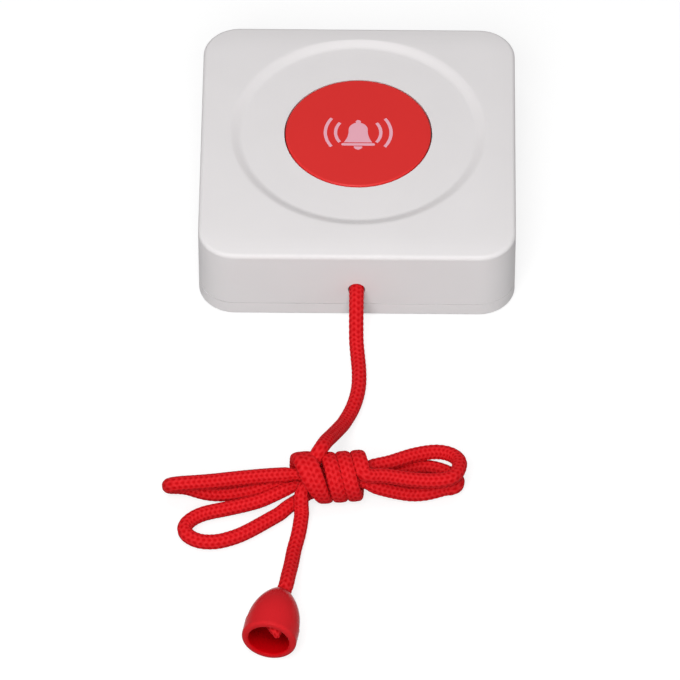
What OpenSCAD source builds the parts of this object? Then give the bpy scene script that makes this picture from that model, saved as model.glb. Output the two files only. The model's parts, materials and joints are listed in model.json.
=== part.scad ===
// Wireless call button for a bedside or bathroom wall: a square two-piece box with a large round
// button in a shallow dish, and a pull cord that leaves the front wall, lies bound in a hank and
// ends in a hollow bell. It lies on its back plate, with the button facing up (+Z) and the cord
// leaving towards -Y. The origin is the middle of the back plate's underside. Millimetres.

/* [Body] */
// Side of the square box
body_w = 86; // [82:0.5:96]
// Height of the box at the dish's lip
body_h = 23.4; // [22.6:0.1:30]
// Radius of the upright corners
corner_r = 10; // [9:0.5:14]
// Thickness of the side walls
wall_t = 2; // [1.6:0.1:2.4]
// Thickness of the cover's roof
roof_t = 2; // [1.6:0.1:2.4]
// Radius along the cover's upper edge
edge_r = 1.2; // [0.6:0.1:1.6]
// How far the roof falls away towards its edges
crown_drop = 0.4; // [0.1:0.05:0.6]
// Width of the band in which the roof falls away
crown_run = 7; // [4:0.5:7]

/* [Back plate] */
// Height of the back plate's rim, up to the seam
plate_h = 4.1; // [3:0.1:4.2]
// Thickness of the back plate's floor
plate_t = 2; // [1.6:0.1:2.4]
// Open seam between the back plate and the cover
seam_gap = 0.25; // [0.15:0.05:0.3]
// Height of the locating lip above the rim
lip_h = 2.1; // [1.8:0.1:2.4]
// Thickness of the locating lip
lip_t = 1.5; // [1.2:0.1:2]
// Radius along the back plate's lower edge
plate_edge_r = 0.6; // [0.3:0.1:1]
// Distance between the two wall screw slots
slot_pitch = 60; // [50:0.5:64]
// Width of a wall screw slot
slot_w = 4.4; // [4:0.1:5.4]
// Length of a wall screw slot
slot_l = 8; // [6:0.5:10]
// Width of a snap catch
catch_w = 10; // [8:0.5:12]
// How far a snap catch stands out
catch_t = 0.7; // [0.5:0.05:0.8]

/* [Dish and button] */
// Distance of the dish and button from the box's middle, away from the cord
dish_y = 3.5; // [2:0.1:4]
// Diameter of the dish at its lip
dish_d = 70.8; // [68:0.2:72]
// Diameter of the dish's flat floor
dish_floor_d = 63.6; // [58:0.2:66]
// Depth of the dish
dish_depth = 1.1; // [0.6:0.1:1.6]
// Diameter of the button
button_d = 39.9; // [36:0.1:42]
// Gap round the button
button_gap = 0.3; // [0.2:0.05:0.5]
// How far the button stands above the dish's floor
button_proud = 0.3; // [0.1:0.1:0.8]
// How far the button moves when pressed
button_travel = 0.8; // [0.5:0.1:1]
// Thickness of the button's top
button_t = 2; // [1.6:0.1:2.4]
// Thickness of the button's skirt
skirt_t = 1.8; // [1.4:0.1:2.2]
// Depth of the collar that guides the button, below the dish's floor
collar_h = 5.2; // [4.6:0.1:5.6]
// Thickness of the collar
collar_t = 1.8; // [1.4:0.1:2.2]
// Height of the button's retaining flange
flange_h = 1.4; // [1:0.1:1.6]
// How far the flange reaches under the collar
flange_reach = 1.4; // [1:0.1:1.6]

/* [Circuit board] */
// Room between the board and the flange of the pressed button
board_gap = 1.2; // [0.8:0.1:1.6]
// Thickness of the board
board_t = 1.6; // [1:0.1:1.8]
// Room between the board and the walls
board_margin = 4; // [3.4:0.1:5]
// Distance of the board's screws from the walls
screw_inset = 8.5; // [8:0.1:10]
// Diameter of a board screw's shank
screw_d = 2; // [1.8:0.1:2.2]
// Diameter of a cover boss
boss_d = 6; // [5:0.1:6.6]

/* [Switches] */
// Side of the upright switch's square body
switch_w = 6; // [5:0.1:6.5]
// Height of the upright switch's body
switch_h = 3.5; // [3:0.1:3.8]
// Diameter of the switch stems
stem_d = 3; // [2.6:0.1:3.2]
// How far the upright stem stands above its body
stem_h = 1.5; // [1.2:0.1:1.8]
// Width of the side switch
side_switch_w = 7; // [6:0.1:7.4]
// Depth of the side switch
side_switch_t = 3.6; // [3.2:0.1:4.4]
// Height of the side switch
side_switch_h = 6.3; // [5.4:0.1:6.6]

/* [Pull slider] */
// Width of the slider
slider_w = 13; // [12:0.2:14]
// Height of the slider
slider_h = 7; // [6.6:0.1:7.4]
// Length of the slider
slider_l = 10; // [9.6:0.1:11]
// Room for the spring between the cord's wall and the slider
spring_room = 9.6; // [9:0.1:11]
// How far the slider moves when the cord is pulled
pull_travel = 4; // [3:0.5:4.5]
// Slope of the ramp that presses the side switch
ramp_slope = 0.125; // [0.08:0.005:0.14]
// Height of the ramp's groove
ramp_h = 4.4; // [4:0.1:4.8]
// Thickness of the slider's guide ribs
rib_t = 1.5; // [1.2:0.1:1.8]
// Wire diameter of the slider spring
slider_wire_d = 0.6; // [0.4:0.05:0.7]
// Wire diameter of the button spring
button_wire_d = 0.7; // [0.5:0.05:0.8]
// Coil diameter of the button spring, at the wire's middle
button_coil_d = 13; // [12:0.2:15]

/* [Battery and radio] */
// Diameter of the coin cell
cell_d = 24.5; // [20:0.1:25]
// Thickness of the coin cell
cell_t = 5; // [3.2:0.1:5.2]
// Thickness of the holder's ring
holder_t = 1.6; // [1.2:0.1:2]
// Distance of the cell from the box's middle, away from the cord
cell_y = 9; // [8:0.5:12]
// Thickness of the battery clip's sheet
clip_t = 0.4; // [0.3:0.05:0.5]
// Side of the radio board
radio_w = 15; // [12:0.5:16]

/* [Cord] */
// Diameter of the knitted cord
cord_d = 4; // [3.6:0.1:4.2]
// Diameter of the cord hole in the front wall
cord_hole_d = 4.6; // [4.4:0.1:5.6]
// How far the cord's line lies below the board
cord_drop = 2; // [1.8:0.1:2.2]

/* [Bell] */
// Largest diameter of the bell
bell_d = 14.5; // [14:0.1:15.2]
// Length of the bell
bell_l = 16.4; // [15:0.1:17.5]
// Diameter of the bell's mouth
bell_mouth_d = 10.7; // [9:0.1:11]
// Thickness of the bell's closed end
bell_end_t = 4.4; // [3.8:0.1:5]
// Thickness of the bell's wall
bell_wall_t = 1.8; // [1.5:0.1:1.9]
// Height of the bell's rim band
bell_rim_h = 5.2; // [4:0.1:6]

/* [Clearances] */
// Gap round a sliding piece
slide_gap = 0.25; // [0.2:0.05:0.3]
// Gap between pieces that rest or press against each other
rest_gap = 0.1; // [0.05:0.05:0.15]

/* [Hidden] */
$fn = 64;
cut = 0.5; // how far a cutting tool runs past the face that it cuts

half_w = body_w / 2;
inner_half = half_w - wall_t;
inner_r = corner_r - wall_t;
cover_z = plate_h + seam_gap;
edge_z = body_h - crown_drop;
ceiling_z = edge_z - roof_t;
floor_z = body_h - dish_depth;
dish_under_z = floor_z - roof_t;
bore_r = button_d / 2 + button_gap;
collar_z = floor_z - collar_h;
button_z = floor_z + button_proud;
button_under_z = button_z - button_t;
flange_top_z = collar_z - rest_gap;
flange_r = bore_r + flange_reach;
flange_z = flange_top_z - flange_h;
board_top_z = flange_z - button_travel - board_gap;
board_z = board_top_z - board_t;
cord_z = board_z - cord_drop;
stem_z = board_top_z + switch_h + stem_h;
stem_bore_d = stem_d + 2 * rest_gap;
stem_seat = 1; // length of a stem inside its switch at rest
screw_at = inner_half - screw_inset;
pilot_d = screw_d + 2 * rest_gap;
screw_reach = 5; // depth of a screw's hole in its boss

slider_front_y = -inner_half + spring_room;
slider_rear_y = slider_front_y + slider_l;
slider_low_z = cord_z - slider_h / 2;
slider_top_z = cord_z + slider_h / 2;
rib_x = slider_w / 2 + slide_gap;
rib_low_z = plate_h + lip_h + 0.3;
rib_rear_y = slider_rear_y + rest_gap + rib_t;
stop_w = 1.5; // how far the rear stops reach in behind the slider's corners
knot_gap = 0.2; // between the slider and the knot behind it
stop_knot_l = 6.8;
lip_half = inner_half - slide_gap;
notch_w = 2 * (rib_x + rib_t + 0.4); // the board's opening round the slider's guide
notch_y = slider_rear_y + 9;
board_half = inner_half - board_margin;

press_y = slider_front_y + 4.4; // where the side switch's stem meets the ramp at rest
ramp_end_y = press_y + pull_travel;
ramp_x = slider_w / 2 - ramp_slope * pull_travel;
ramp_angle = atan(ramp_slope);
stem_x = ramp_x + (stem_d / 2 + rest_gap) / cos(ramp_angle); // middle of the stem's round tip
side_switch_x = rib_x + rib_t + 2;

seat_depth = 2; // the slider's pocket for its spring
slider_coil_r = cord_d / 2 + 0.7 + slider_wire_d / 2;
seat_r = slider_coil_r + slider_wire_d / 2 + 0.2;
seat_t = 1.2; // wall and height of the spring's seat on the cord's wall
holder_r = cell_d / 2 + slide_gap + holder_t;
holder_floor_t = 0.5;
cell_z = board_z - holder_floor_t - rest_gap - cell_t;
clip_z = cell_z - rest_gap - clip_t;
clip_x = holder_r + 0.3;

function unit(v) = v / norm(v);
function smooth(t) = t * t * (3 - 2 * t);

// Tubes along a list of points
function headings(p) = [
    for (i = [0 : len(p) - 1]) unit(p[min(i + 1, len(p) - 1)] - p[max(i - 1, 0)])
];
function square_to(n, t) = unit(n - (n * t) * t);
function normals(t, n0) = [
    for (i = 0, n = square_to(n0, t[0]); i < len(t); i = i + 1,
         n = i < len(t) ? square_to(n, t[i]) : n) n
];
function ring(c, t, n, r, sides) = [
    for (k = [0 : sides - 1])
        c + r * (cos(360 * k / sides) * n + sin(360 * k / sides) * cross(t, n))
];

// A closed tube of triangles with its own radius at each point
module tube(p, r, sides, n0 = [0, 0, 1]) {
    t = headings(p);
    n = normals(t, n0);
    last = len(p) - 1;
    points = [for (i = [0 : last]) each ring(p[i], t[i], n[i], r[i], sides)];
    walls = [
        for (i = [0 : last - 1], k = [0 : sides - 1])
            let (a = i * sides + k, b = i * sides + (k + 1) % sides)
                each [[a, a + sides, b + sides], [a, b + sides, b]]
    ];
    caps = [
        for (k = [1 : sides - 2])
            each [[0, k, k + 1], [last * sides, last * sides + k + 1, last * sides + k]]
    ];
    polyhedron(points, concat(walls, caps));
}

function cubic(p, dp, q, dq, n) = [
    for (i = [1 : n - 1]) let (t = i / n)
        (2 * t ^ 3 - 3 * t ^ 2 + 1) * p + (t ^ 3 - 2 * t ^ 2 + t) * dp
        + (3 * t ^ 2 - 2 * t ^ 3) * q + (t ^ 3 - t ^ 2) * dq
];
function filled(n, value) = [for (i = [1 : n]) value];

// Cord routes
function from_wall(p) = p - [0, half_w, 0];
lay_z = cord_d / 2 + 0.1; // the cord's line where it lies on the table
// Points in front of the cord's wall, with y counted from the wall
lead_route = [
    [0, 0, cord_z], [0, -3, cord_z - 0.2], [0, -6.5, cord_z - 1.3], [0, -10, cord_z - 3.7],
    [0.1, -13.5, lay_z + 1.5], [0.5, -17.5, lay_z + 0.2], [0.9, -22.8, lay_z], [0.8, -28.6, lay_z],
    [0.2, -32.4, lay_z], [-1, -36.8, lay_z + 0.2]
];
tail_route = [
    [-14.8, -80.5, lay_z], [-15.6, -85.6, lay_z + 0.3], [-16.4, -92.1, lay_z + 1.9], [-17.2, -98.6, lay_z + 4.1],
    [-17.5, -102, lay_z + 5]
];
bell_mouth = from_wall([-21.8, -121.3, bell_d / 2 + 0.1]);
bell_yaw = 10; // the bell's axis, turned from -Y towards -X
bell_way = [-sin(bell_yaw), -cos(bell_yaw), 0];

// The hank lies along u, with v away from the viewer and w up, round its bound middle.
// Its points are for a cord of 4, and it grows with the cord.
hank_grow = cord_d / 4;
hank_middle = from_wall([-6.2, -64.6, 7 * hank_grow]);
hank_yaw = 6;
hank_sides = 6;
full_r = 2;
waist_r = 1.1; // the soft cord pressed thin inside the binding
bound_r = 1.65; // the cord pulled tight in the binding's turns
waist_left = 11;
waist_right = 9.5;
lead_strand = [0.2, 2.2]; // places of the strands in the waist, [v, w]
back_strand = [1.93, 0];
front_strand = [-1.93, 0];
low_strand = [0, -1.93];
turn_r = 5.2;
turn_pitch = 3.92;
turn_lean = 0.46;
turn_rings = 24;
turns_right = 7.8;
turn_from = 3.08; // the binding is wound from right to left, counted in turns
turn_to = -0.5;
first_lean = 4.4; // the turn at the left end crosses the others
first_lift = 0.76;

function hank_place(p) = hank_middle + hank_grow * [
    p[0] * cos(hank_yaw) - p[1] * sin(hank_yaw),
    p[0] * sin(hank_yaw) + p[1] * cos(hank_yaw), p[2]
];
function at_u(u, strand) = [u, strand[0], strand[1]];
function turn_point(a) = let (
    crossing = first_lean * (1 - smooth(max(0, min(1, (a + 0.15) / 0.75)))),
    r = turn_r + (abs(a) < 0.3 ? first_lift * max(0, cos(360 * a)) ^ 2 : 0)
) [
    turns_right - turn_pitch * (3 - a) - turn_lean * (cos(360 * a) - 1) - crossing,
    -r * sin(360 * a), r * cos(360 * a)
];
// Each loop: the ends of its strands, its tip, half width, tilt, twist and how late it widens
function loop_points(l) = let (
    out_end = l[0], back_end = l[1], tip = l[2], late = l[6],
    way = unit(tip - (out_end + back_end) / 2),
    widest = (late / (1 + late)) ^ (late / 2) / sqrt(1 + late)
) [
    for (i = [1 : turn_rings - 1]) let (
        t = i / turn_rings, out = sin(180 * t), bow = sin(90 * out),
        end = t < 0.5 ? out_end : back_end, tilt = l[4] + l[5] * (1 - out ^ 2)
    )
        [
            end[0] + (tip[0] - end[0]) * out,
            end[1] + (tip[1] - end[1]) * bow, end[2] + (tip[2] - end[2]) * bow
        ] + square_to([0, cos(tilt), sin(tilt)], way) * l[3] / widest * out ^ late * cos(180 * t)
];
function loop_radii(out_r) = [
    for (i = [1 : turn_rings - 1]) let (thin_r = i < turn_rings / 2 ? out_r : waist_r)
        thin_r + (full_r - thin_r) * smooth(min(1, min(i, turn_rings - i) / 6))
];
function waist_points(strand, from, to, steps) = [
    for (k = [0 : steps]) at_u(from + (to - from) * k / steps, strand)
];

in_start = [6.2, 23.1, -3.8];
in_way = unit([-0.4, -0.87, 0.29]);
back_loop_end = [12.8, -3.2, 3.1];
under_end = [-13.8, -6.7, -4.95];
low_loop_end = [-waist_left, -1, -2.1];
out_end = [-9.2, -9.8, -4.9];
out_way = unit([-0.2, -1, 0]);
far_left_loop = [
    at_u(-waist_left, lead_strand), at_u(-waist_left, back_strand), [-42.3, 0.55, -1.9],
    3.35, 131.5, -54, 1.37
];
far_right_loop = [at_u(waist_right, back_strand), back_loop_end, [34.9, 1.4, -0.3], 6.1, -14.7, 5.7, 1.34];
near_left_loop = [under_end, low_loop_end, [-39.8, -11, -4.95], 4.75, 180, 0, 1.04];
near_right_loop = [
    at_u(waist_right, low_strand), at_u(waist_right, front_strand), [33.4, -0.3, -4.95], 4.4, -0.5, 0, 1.27
];
turn_count = round((turn_from - turn_to) * turn_rings);
turn_points = [for (i = [0 : turn_count]) turn_point(turn_from + (turn_to - turn_from) * i / turn_count)];
// The cord dives under the binding, lies in two loops, binds them, and lies in two more
hank_parts = [
    [
        [
            in_start, in_start + 2 * in_way, [4, 18.5, -1.7], [1.8, 13.1, 1.7], [-0.7, 7.2, 6.2],
            [-3.2, 2.8, 7.7], [-4.7, 2.3, 5.3], [-4.3, 1.2, 3.5], [-6.6, -0.2, 2.1]
        ],
        [full_r, full_r, full_r, full_r, 1.9, 1.75, 1.55, 1.3, waist_r]
    ],
    [waist_points(lead_strand, -9, -waist_left, 1), [waist_r, 1.2]],
    [loop_points(far_left_loop), loop_radii(waist_r)],
    [waist_points(back_strand, -waist_left, waist_right, 4), filled(5, waist_r)],
    [loop_points(far_right_loop), loop_radii(waist_r)],
    [cubic(back_loop_end, [-6.7, 0, 0.5], turn_points[0], [-1.5, 5.1, 1.5], 6), [1.8, 1.75, 1.7, 1.65, 1.65]],
    [turn_points, filled(turn_count + 1, bound_r)],
    [cubic(turn_points[turn_count], [-2.1, -5.1, 0], under_end, [-4.6, -5.8, 0], 5), [1.6, 1.65, 1.75, 1.85]],
    [[under_end], [1.95]],
    [loop_points(near_left_loop), loop_radii(full_r)],
    [[low_loop_end], [waist_r]],
    [waist_points(low_strand, -waist_left / 2, waist_right, 3), filled(4, waist_r)],
    [loop_points(near_right_loop), loop_radii(waist_r)],
    [waist_points(front_strand, waist_right, -4.5, 3), filled(4, waist_r)],
    [
        [
            [-6.8, -2.3, 0.05], [-7.6, -3.65, -1.3], [-7.8, -4.7, -2.25], [-8.1, -5.75, -4.3],
            out_end - 2 * out_way, out_end
        ],
        [1.15, 1.4, 1.7, 1.9, full_r, full_r]
    ]
];
hank_radii = hank_grow * [for (part = hank_parts) each part[1]];
hank_route = [for (part = hank_parts) for (p = part[0]) hank_place(p)];

// The least gap between parts of the hank more than near_along apart along the cord
near_along = 9;
function run_lengths(p) = [
    for (i = 0, s = 0; i < len(p); i = i + 1, s = i < len(p) ? s + norm(p[i] - p[i - 1]) : s) s
];
hank_lengths = run_lengths(hank_route);
hank_gap = min([
    for (i = [0 : len(hank_route) - 1]) for (j = [i + 1 : 1 : len(hank_route) - 1])
        if (hank_lengths[j] - hank_lengths[i] > near_along)
            norm(hank_route[j] - hank_route[i]) - hank_radii[i] - hank_radii[j]
]);
echo(hank_least_gap = hank_gap, hank_length = hank_lengths[len(hank_lengths) - 1]);

lead_points = concat(
    [[0, slider_rear_y + knot_gap, cord_z]], [for (p = lead_route) from_wall(p)],
    [hank_place(in_start - 2 * in_way), hank_place(in_start)]
);
bell_neck = bell_mouth - bell_l * bell_way;
bell_knot_l = 5.6;
bell_step = 0.2; // the dome is this much slimmer than the rim
bell_neck_t = 0.7; // wall round the cord at the neck
bell_bore_gap = 0.3;
knot_rear = bell_mouth - (bell_l - bell_end_t - rest_gap) * bell_way;
tail_points = concat(
    [hank_place(out_end), hank_place(out_end + 2 * out_way)],
    [for (p = tail_route) from_wall(p)], [bell_neck - 1.2 * bell_way, bell_neck, knot_rear]
);

// Shared shapes
// A square block with round upright corners, whose side has the profile drawn by the child
// between x = 0 and x = r
module rounded_block(half, r, low_z, high_z) {
    for (k = [0 : 3]) rotate(90 * k) {
        translate([half - r, half - r, 0]) rotate_extrude(angle = 90) children();
        translate([half - r, half - r, 0]) rotate([90, 0, 0]) linear_extrude(2 * (half - r)) children();
    }
    translate([r - half, r - half, low_z]) cube([2 * (half - r), 2 * (half - r), high_z - low_z]);
}

module plain_block(half, r, low_z, high_z) {
    rounded_block(half, r, low_z, high_z) translate([0, low_z]) square([r, high_z - low_z]);
}

// Side of the cover: upright wall, round upper edge and the roof's low crown
module cover_profile() {
    steps = 4;
    crown = [
        for (k = [0 : steps]) let (t = k / steps)
            [corner_r - edge_r - crown_run * t, edge_z + crown_drop * (1 - (1 - t) ^ 2)]
    ];
    polygon(concat([[0, cover_z], [corner_r, cover_z], [corner_r, edge_z - edge_r]], crown, [[0, body_h]]));
    translate([corner_r - edge_r, edge_z - edge_r]) circle(edge_r);
}

// Side of the back plate: upright rim with a round lower edge
module plate_profile() {
    square([corner_r - plate_edge_r, plate_h]);
    translate([0, plate_edge_r]) square([corner_r, plate_h - plate_edge_r]);
    translate([corner_r - plate_edge_r, plate_edge_r]) circle(plate_edge_r);
}

// The dish's soft slope from its floor up to its lip
module dish_cut() {
    steps = 8;
    slope = [
        for (k = [0 : steps]) let (t = k / steps)
            [(dish_floor_d + (dish_d - dish_floor_d) * t) / 2, floor_z + dish_depth * smooth(t)]
    ];
    translate([0, dish_y, 0]) rotate_extrude($fn = 128)
        polygon(concat([[0, floor_z]], slope, [[dish_d / 2, body_h + cut], [0, body_h + cut]]));
}

// Turns a piece along the cord's line through the wall, starting at the given y
module along_cord(y) {
    translate([0, y, cord_z]) rotate([-90, 0, 0]) children();
}

module at_screws() {
    for (x = [-1, 1], y = [-1, 1]) translate([x * screw_at, y * screw_at, 0]) children();
}

// One catch at the middle of the left, right and rear walls and two on the cord's wall
module at_catches() {
    for (a = [0, 90, 180]) rotate(a) translate([lip_half, 0, 0]) children();
    for (x = [-1, 1]) translate([x * half_w * 0.56, -lip_half, 0]) rotate(-90) children();
}

// A catch's wedge, pointing along +X
module catch_wedge(grow) {
    catch_z = plate_h + lip_h - 0.3;
    rotate([90, 0, 0]) linear_extrude(catch_w + 2 * grow, center = true)
        polygon([
            [-0.4, catch_z + grow], [-0.4, catch_z - 1.2 - grow],
            [catch_t + grow, catch_z - 0.9 - grow], [catch_t + grow, catch_z - 0.5 + grow]
        ]);
}

// Guide for the slider: two ribs, a bridge over it and stops behind it
module slider_guide() {
    length = rib_rear_y + inner_half;
    roof_z = slider_top_z + slide_gap;
    for (x = [-1, 1]) {
        translate([x * (rib_x + rib_t / 2) - rib_t / 2, -inner_half - cut, rib_low_z])
            cube([rib_t, length + cut, ceiling_z + cut - rib_low_z]);
        translate([x * (rib_x - stop_w / 2) - stop_w / 2, slider_rear_y + rest_gap, rib_low_z])
            cube([stop_w + 0.01, rib_t, roof_z + rib_t - rib_low_z]);
    }
    translate([-rib_x - 0.01, -inner_half - cut, roof_z])
        cube([2 * rib_x + 0.02, length + cut, rib_t]);
    along_cord(-inner_half - cut) difference() {
        cylinder(r = seat_r + seat_t, h = cut + seat_t);
        translate([0, 0, cut]) cylinder(r = seat_r, h = seat_t + cut);
    }
}

module front_cover() {
    color("white") difference() {
        union() {
            difference() {
                rounded_block(half_w, corner_r, cover_z, body_h) cover_profile();
                plain_block(inner_half, inner_r, cover_z - cut, ceiling_z);
            }
            translate([0, dish_y, dish_under_z])
                cylinder(r = dish_d / 2, h = ceiling_z - dish_under_z + cut, $fn = 128);
            translate([0, dish_y, collar_z])
                cylinder(r = bore_r + collar_t, h = ceiling_z - collar_z + cut, $fn = 128);
            at_screws() translate([0, 0, board_top_z])
                cylinder(d = boss_d, h = ceiling_z - board_top_z + cut);
            slider_guide();
        }
        dish_cut();
        translate([0, dish_y, collar_z - cut])
            cylinder(r = bore_r, h = body_h - collar_z + 2 * cut, $fn = 128);
        at_screws() translate([0, 0, board_top_z - cut]) cylinder(d = pilot_d, h = screw_reach + cut);
        along_cord(-half_w - cut) cylinder(d = cord_hole_d, h = wall_t + 2 * cut);
        translate([rib_x - cut, press_y - stem_d / 2 - 0.5, rib_low_z - cut])
            cube([rib_t + 2 * cut, stem_d + 1, cord_z + stem_d / 2 + 0.5 - rib_low_z + cut]);
        at_catches() catch_wedge(0.2);
    }
}

module wall_slot() {
    half_run = (slot_l - slot_w) / 2;
    for (x = [-1, 1]) translate([x * half_run, 0, -cut]) cylinder(d = slot_w, h = plate_t + 2 * cut);
    translate([-half_run, -slot_w / 2, -cut]) cube([2 * half_run, slot_w, plate_t + 2 * cut]);
}

module back_plate() {
    lip_top = plate_h + lip_h;
    lip_r = inner_r - slide_gap;
    rail_h = slider_low_z - rest_gap - plate_t;
    color("whitesmoke") {
        difference() {
            union() {
                difference() {
                    rounded_block(half_w, corner_r, 0, plate_h) plate_profile();
                    plain_block(lip_half - lip_t, lip_r - lip_t, plate_t, plate_h + cut);
                }
                difference() {
                    plain_block(lip_half, lip_r, plate_t, lip_top);
                    plain_block(lip_half - lip_t, lip_r - lip_t, plate_t - cut, lip_top + cut);
                    translate([-rib_x - rib_t - 1, -half_w, plate_h])
                        cube([2 * (rib_x + rib_t + 1), half_w - lip_half + lip_t + cut, lip_h + cut]);
                }
                at_catches() catch_wedge(0);
            }
            for (x = [-1, 1]) translate([x * slot_pitch / 2, 0, 0]) wall_slot();
            along_cord(-inner_half - slide_gap)
                cylinder(r = seat_r + seat_t + slide_gap, h = 2 * lip_t + seat_t);
        }
        for (x = [-1, 1]) translate([x * slider_w / 3 - 0.75, slider_front_y - pull_travel, plate_t - 0.01])
            cube([1.5, slider_l + pull_travel, rail_h + 0.01]);
    }
}

module call_button() {
    ribs = 6;
    round_r = 0.5;
    outer_r = button_d / 2;
    color("crimson") translate([0, dish_y, 0]) {
        rotate_extrude($fn = 128) {
            translate([0, button_under_z]) square([outer_r - round_r, button_t]);
            translate([0, button_under_z]) square([outer_r, button_t - round_r]);
            translate([outer_r - round_r, button_z - round_r]) circle(round_r);
            translate([outer_r - skirt_t, flange_z]) square([skirt_t, button_z - round_r - flange_z]);
            translate([outer_r - skirt_t, flange_z]) square([flange_r - outer_r + skirt_t, flange_h]);
        }
        translate([0, 0, stem_z + rest_gap]) cylinder(d = stem_d + 4, h = button_under_z - stem_z);
        for (k = [0 : ribs - 1]) rotate(360 * k / ribs)
            translate([button_coil_d / 2 + 1.5, -0.6, button_under_z - 1.5])
                cube([outer_r - skirt_t / 2 - button_coil_d / 2 - 1.5, 1.2, 1.6]);
    }
}

// Compression coil between two heights, with 8 rings a turn
module coil(low, high, coil_r, wire_d, coils) {
    rings = 8 * coils;
    rise = high - low - wire_d;
    tube([
        for (i = [0 : rings]) [
            coil_r * cos(45 * i), coil_r * sin(45 * i), low + wire_d / 2 + rise * i / rings
        ]
    ], filled(rings + 1, wire_d / 2), 6);
}

module button_spring() {
    color("silver") translate([0, dish_y, 0])
        coil(board_top_z + rest_gap, button_under_z - rest_gap, button_coil_d / 2, button_wire_d, 4);
}

module circuit_board() {
    corner = 2;
    short_half = board_half - corner;
    color("seagreen") translate([0, 0, board_z]) difference() {
        union() {
            translate([-short_half, -board_half, 0]) cube([2 * short_half, 2 * board_half, board_t]);
            translate([-board_half, -short_half, 0]) cube([2 * board_half, 2 * short_half, board_t]);
            for (x = [-1, 1], y = [-1, 1]) translate([x * short_half, y * short_half, 0])
                cylinder(r = corner, h = board_t);
        }
        translate([-notch_w / 2, -half_w, -cut]) cube([notch_w, half_w + notch_y, board_t + 2 * cut]);
        at_screws() translate([0, 0, -cut]) cylinder(d = pilot_d + 0.2, h = board_t + 2 * cut);
    }
}

module call_switch() {
    color("dimgray") translate([0, dish_y, board_top_z]) difference() {
        translate([-switch_w / 2, -switch_w / 2, 0]) cube([switch_w, switch_w, switch_h]);
        translate([0, 0, switch_h - stem_seat - button_travel - 0.2])
            cylinder(d = stem_bore_d, h = stem_seat + button_travel + 0.2 + cut);
    }
}

module call_plunger() {
    length = stem_h + stem_seat;
    color("black") translate([0, dish_y, stem_z - length]) cylinder(d = stem_d, h = length);
}

module pull_switch() {
    bore_l = stem_seat + ramp_slope * pull_travel + 0.3;
    color("dimgray") difference() {
        translate([side_switch_x, press_y - side_switch_w / 2, board_z - side_switch_h])
            cube([side_switch_t, side_switch_w, side_switch_h]);
        translate([side_switch_x - cut, press_y, cord_z]) rotate([0, 90, 0])
            cylinder(d = stem_bore_d, h = bore_l + cut);
    }
}

module pull_plunger() {
    color("black") translate([stem_x, press_y, cord_z]) {
        sphere(d = stem_d);
        rotate([0, 90, 0]) cylinder(d = stem_d, h = side_switch_x + stem_seat - stem_x);
    }
}

module pull_slider() {
    ramp_low_x = slider_w / 2 - ramp_slope * (ramp_end_y - slider_front_y + cut);
    color("ivory") difference() {
        translate([-slider_w / 2, slider_front_y, slider_low_z]) cube([slider_w, slider_l, slider_h]);
        along_cord(slider_front_y - cut) {
            cylinder(d = cord_d + 0.6, h = slider_l + 2 * cut);
            cylinder(r = seat_r, h = seat_depth + cut);
        }
        translate([0, 0, cord_z - ramp_h / 2]) linear_extrude(ramp_h) polygon([
            [slider_w / 2 + cut, slider_front_y - cut], [ramp_low_x, slider_front_y - cut],
            [slider_w / 2, ramp_end_y], [slider_w / 2 + cut, ramp_end_y]
        ]);
    }
}

module slider_spring() {
    length = slider_front_y + seat_depth + inner_half;
    color("silver") along_cord(-inner_half)
        coil(rest_gap, length - rest_gap, slider_coil_r, slider_wire_d, 7);
}

// A tight stopper knot, as a rounded barrel round the cord's axis
module knot_barrel(length, r) {
    rotate_extrude() {
        square([r - 1.5, length]);
        translate([0, 1.5]) square([r, length - 3]);
        for (z = [1.5, length - 1.5]) translate([r - 1.5, z]) circle(1.5);
    }
}

module cord_stop_knot() {
    color("red") along_cord(slider_rear_y + knot_gap) knot_barrel(stop_knot_l, slider_h / 2 - rest_gap);
}

module cord_lead() {
    color("red") tube(lead_points, filled(len(lead_points), cord_d / 2), 8);
}

module cord_hank() {
    color("red") tube(hank_route, hank_radii, hank_sides);
}

module cord_tail() {
    color("red") tube(tail_points, filled(len(tail_points), cord_d / 2), 8);
}

// Places a piece whose mouth is at z = 0 and whose closed end is up at the end of the cord
module on_bell() {
    translate(bell_mouth) rotate(-bell_yaw) rotate([-90, 0, 0]) children();
}

// The bell's side above its rim: an arc that narrows from the body to the neck
module bell_dome(inset) {
    body_r = bell_d / 2 - bell_step;
    narrowing = body_r - cord_d / 2 - bell_neck_t;
    dome_l = bell_l - bell_rim_h;
    arc_r = (narrowing ^ 2 + dome_l ^ 2) / (2 * narrowing);
    intersection() {
        translate([body_r - arc_r, bell_rim_h]) circle(arc_r - inset, $fn = 256);
        translate([0, bell_rim_h - 0.01]) square([body_r, dome_l + 0.01]);
    }
}

module pull_bell() {
    lip_r = 1; // radius along the mouth's outer edge
    inner_lip_r = 0.6;
    mouth_r = bell_mouth_d / 2;
    cavity_l = bell_l - bell_end_t;
    color("firebrick") on_bell() rotate_extrude() difference() {
        union() {
            square([bell_d / 2 - lip_r, bell_rim_h]);
            translate([0, lip_r]) square([bell_d / 2, bell_rim_h - lip_r]);
            translate([bell_d / 2 - lip_r, lip_r]) circle(lip_r);
            bell_dome(0);
        }
        translate([0, -cut]) square([mouth_r, bell_rim_h + cut]);
        difference() {
            translate([0, -cut]) square([mouth_r + inner_lip_r, inner_lip_r + cut]);
            translate([mouth_r + inner_lip_r, inner_lip_r]) circle(inner_lip_r);
        }
        intersection() {
            bell_dome(bell_wall_t);
            square([mouth_r, cavity_l]);
        }
        square([cord_d / 2 + bell_bore_gap, bell_l + cut]);
    }
}

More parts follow.
